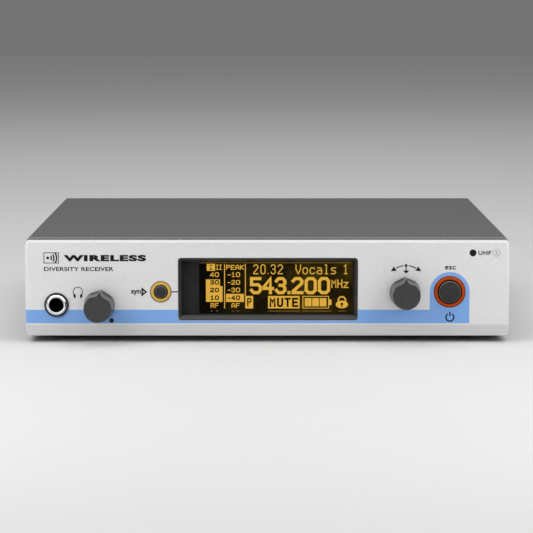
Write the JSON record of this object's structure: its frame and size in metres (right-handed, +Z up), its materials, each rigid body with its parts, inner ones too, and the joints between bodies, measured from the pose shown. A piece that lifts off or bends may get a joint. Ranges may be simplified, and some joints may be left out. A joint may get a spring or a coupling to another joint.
{
  "type": "wireless receiver unit",
  "caption": "Half-rack wireless audio receiver: silver front panel with amber display, pointer knobs, lit push buttons and headphone socket, grey steel case with rear sockets.",
  "frame": {"origin": "centre of the unit's footprint, on the plane its feet stand on", "axes": "+X to the right seen from the front, -Y out of the front panel, +Z up"},
  "size_m": [0.212, 0.202, 0.045],
  "materials": {
    "aluminium_panel": "fine bead-blasted clear anodised",
    "grey_paint": "fine matt powder coat",
    "bezel_black": "moulded satin black",
    "window_smoke": "clear smoked, polished",
    "display_black": "display glass and frame",
    "knob_charcoal": "fine matt moulded",
    "amber_lens": "translucent amber",
    "red_lens": "translucent red",
    "chrome_metal": "bright plated",
    "black_plastic": "satin black",
    "zinc_steel": "bright zinc plated",
    "board_green": "solder-masked laminate",
    "ptfe_white": "white insulator",
    "foot_rubber": "matt black rubber",
    "ribbon_grey": "grey flat cable",
    "red_plastic": "switch actuator"
  },
  "bodies": {
    "case": {"front_panel": "aluminium_panel", "top_cover": "grey_paint", "chassis_tray": "grey_paint", "display_frame": "bezel_black", "display_window": "window_smoke", "display_module": "display_black", "sync_light_ring": "amber_lens", "esc_light_ring": "red_lens", "headphone_collar": "black_plastic", "headphone_bushing": "chrome_metal", "headphone_jack_body": "black_plastic", "headphone_board": "board_green", "front_board": "board_green", "main_board": "board_green", "ribbon_cable": "ribbon_grey", "rf_shield_a": "zinc_steel", "rf_shield_b": "zinc_steel", "volume_pot_body": "zinc_steel", "encoder_body": "black_plastic", "sync_switch": "black_plastic", "esc_switch": "black_plastic", "antenna_socket_a": "chrome_metal", "antenna_socket_b": "chrome_metal", "antenna_nut_a": "zinc_steel", "antenna_nut_b": "zinc_steel", "antenna_insulator_a": "ptfe_white", "antenna_insulator_b": "ptfe_white", "xlr_housing": "black_plastic", "xlr_pin_1": "zinc_steel", "xlr_pin_2": "zinc_steel", "xlr_pin_3": "zinc_steel", "line_out_jack": "black_plastic", "line_out_nut": "zinc_steel", "data_socket": "black_plastic", "dc_socket": "black_plastic", "dc_pin": "zinc_steel", "cable_grip": "black_plastic", "foot_front_left": "foot_rubber", "foot_front_right": "foot_rubber", "foot_rear_left": "foot_rubber", "foot_rear_right": "foot_rubber", "side_screw_left_front": "zinc_steel", "side_screw_left_rear": "zinc_steel", "tab_screw_left": "zinc_steel", "side_screw_right_front": "zinc_steel", "side_screw_right_rear": "zinc_steel", "tab_screw_right": "zinc_steel", "board_standoff_1": "zinc_steel", "board_standoff_2": "zinc_steel", "board_standoff_3": "zinc_steel", "board_standoff_4": "zinc_steel"},
    "volume": {"volume_knob": "knob_charcoal", "volume_pot_shaft": "zinc_steel"},
    "jog_press": {"encoder_plunger": "black_plastic"},
    "jog_turn": {"jog_dial": "knob_charcoal", "encoder_shaft": "zinc_steel"},
    "sync": {"sync_button": "knob_charcoal", "sync_plunger": "red_plastic"},
    "esc": {"esc_button": "knob_charcoal", "esc_plunger": "red_plastic"}
  },
  "joints": [
    {"name": "volume_turn", "type": "hinge", "parent": "case", "child": "volume", "pos_m": [-0.0735, -0.095, 0.0167], "axis": [0, 1, 0], "range_deg": [-149.9, 134.1]},
    {"name": "jog_push", "type": "slide", "parent": "case", "child": "jog_press", "axis": [0, 1, 0], "range_m": [0, 0.0005], "stiffness_N_per_m": 3000, "springref_m": -0.0006},
    {"name": "jog_turn", "type": "hinge", "parent": "jog_press", "child": "jog_turn", "pos_m": [0.06025, -0.095, 0.02235], "axis": [0, 1, 0], "continuous": true},
    {"name": "sync_push", "type": "slide", "parent": "case", "child": "sync", "axis": [0, 1, 0], "range_m": [0, 0.0006], "stiffness_N_per_m": 1500, "springref_m": -0.0006},
    {"name": "esc_push", "type": "slide", "parent": "case", "child": "esc", "axis": [0, 1, 0], "range_m": [0, 0.0008], "stiffness_N_per_m": 1500, "springref_m": -0.0006}
  ]
}
